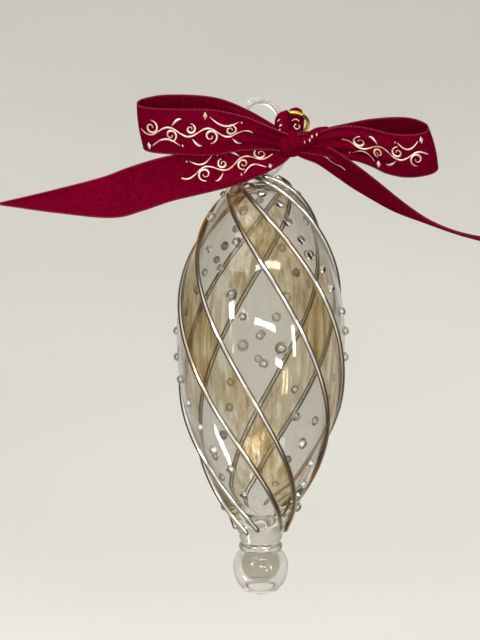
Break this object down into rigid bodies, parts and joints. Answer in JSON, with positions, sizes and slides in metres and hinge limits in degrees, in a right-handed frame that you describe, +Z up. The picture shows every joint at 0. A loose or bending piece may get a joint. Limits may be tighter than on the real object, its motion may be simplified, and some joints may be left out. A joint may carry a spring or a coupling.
{
  "type": "christmas ornament",
  "caption": "Blown clear glass hanging ornament: a spindle with spiral rods and beads, a ball finial, a glass eye, a gold ring and a satin bow.",
  "frame": {"origin": "inside top of the glass eye, where the ornament hangs", "axes": "+Z up along the ornament's axis, X to the right as the front is seen, Y away from the front"},
  "size_m": [0.1492, 0.0544, 0.1544],
  "materials": {
    "clear_glass": "clear hand-blown soda-lime glass, fire polished, with gold lustre bands between paired rods",
    "gold_wire": "bright gold-plated wire",
    "satin_ribbon": "burgundy polyester satin with a soft sheen and gold foil flourishes"
  },
  "bodies": {
    "root": {"glass_ornament": "clear_glass", "gold_ring": "gold_wire", "ribbon_bow": "satin_ribbon"}
  },
  "joints": []
}
